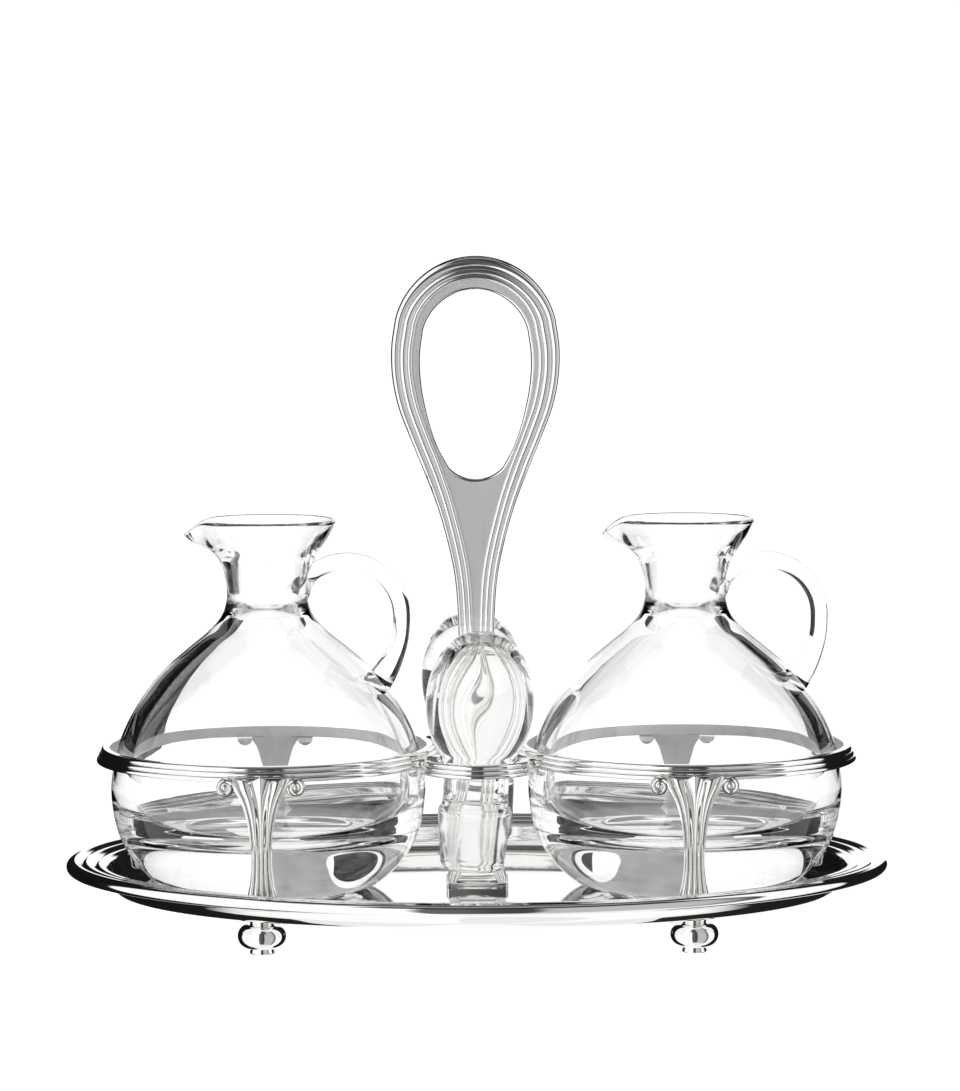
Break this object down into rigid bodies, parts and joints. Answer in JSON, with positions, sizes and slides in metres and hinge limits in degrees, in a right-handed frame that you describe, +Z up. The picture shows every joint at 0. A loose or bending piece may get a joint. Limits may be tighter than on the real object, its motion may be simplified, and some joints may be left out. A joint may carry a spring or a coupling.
{
  "type": "cruet set",
  "caption": "Oval footed silver tray with reeded rings, a tall loop handle, glass oil and vinegar carafes, and egg-shaped glass stoppers hanging beside them.",
  "frame": {"origin": "on the table under the middle of the tray", "axes": "+X along the tray's long axis, the carafes' pouring lips face -X; +Y from the front stopper to the back one; +Z up"},
  "size_m": [0.28, 0.199, 0.228],
  "materials": {
    "silver_tray": "mirror-polished silver plate",
    "silver_moulding": "polished silver, reeded",
    "silver_cast": "polished casting with satin recesses",
    "silver_turned": "polished, turned",
    "plain_steel": "machined",
    "crystal": "clear polished crystal, ground taper"
  },
  "bodies": {
    "stand": {"tray": "silver_tray", "tray_rim": "silver_moulding", "foot_front_left": "silver_turned", "leg_front_left": "silver_cast", "foot_front_right": "silver_turned", "leg_front_right": "silver_cast", "foot_back_left": "silver_turned", "leg_back_left": "silver_cast", "foot_back_right": "silver_turned", "leg_back_right": "silver_cast", "leg_studs": "plain_steel", "left_ring": "silver_moulding", "right_ring": "silver_moulding", "front_stopper_ring": "silver_moulding", "back_stopper_ring": "silver_moulding", "handle": "silver_cast", "handle_screw": "plain_steel", "handle_washer": "plain_steel"},
    "left_carafe_body": {"left_carafe": "crystal", "left_carafe_handle": "crystal"},
    "right_carafe_body": {"right_carafe": "crystal", "right_carafe_handle": "crystal"},
    "front_stopper_body": {"front_stopper": "crystal"},
    "back_stopper_body": {"back_stopper": "crystal"}
  },
  "joints": [
    {"name": "left_carafe_lift", "type": "slide", "parent": "stand", "child": "left_carafe_body", "axis": [0, 0, 1], "range_m": [0, 0.054]},
    {"name": "right_carafe_lift", "type": "slide", "parent": "stand", "child": "right_carafe_body", "axis": [0, 0, 1], "range_m": [0, 0.054]},
    {"name": "front_stopper_lift", "type": "slide", "parent": "stand", "child": "front_stopper_body", "axis": [0.0523, 0, 0.9986], "range_m": [0, 0.045]},
    {"name": "back_stopper_lift", "type": "slide", "parent": "stand", "child": "back_stopper_body", "axis": [-0.0523, 0, 0.9986], "range_m": [0, 0.045]}
  ]
}
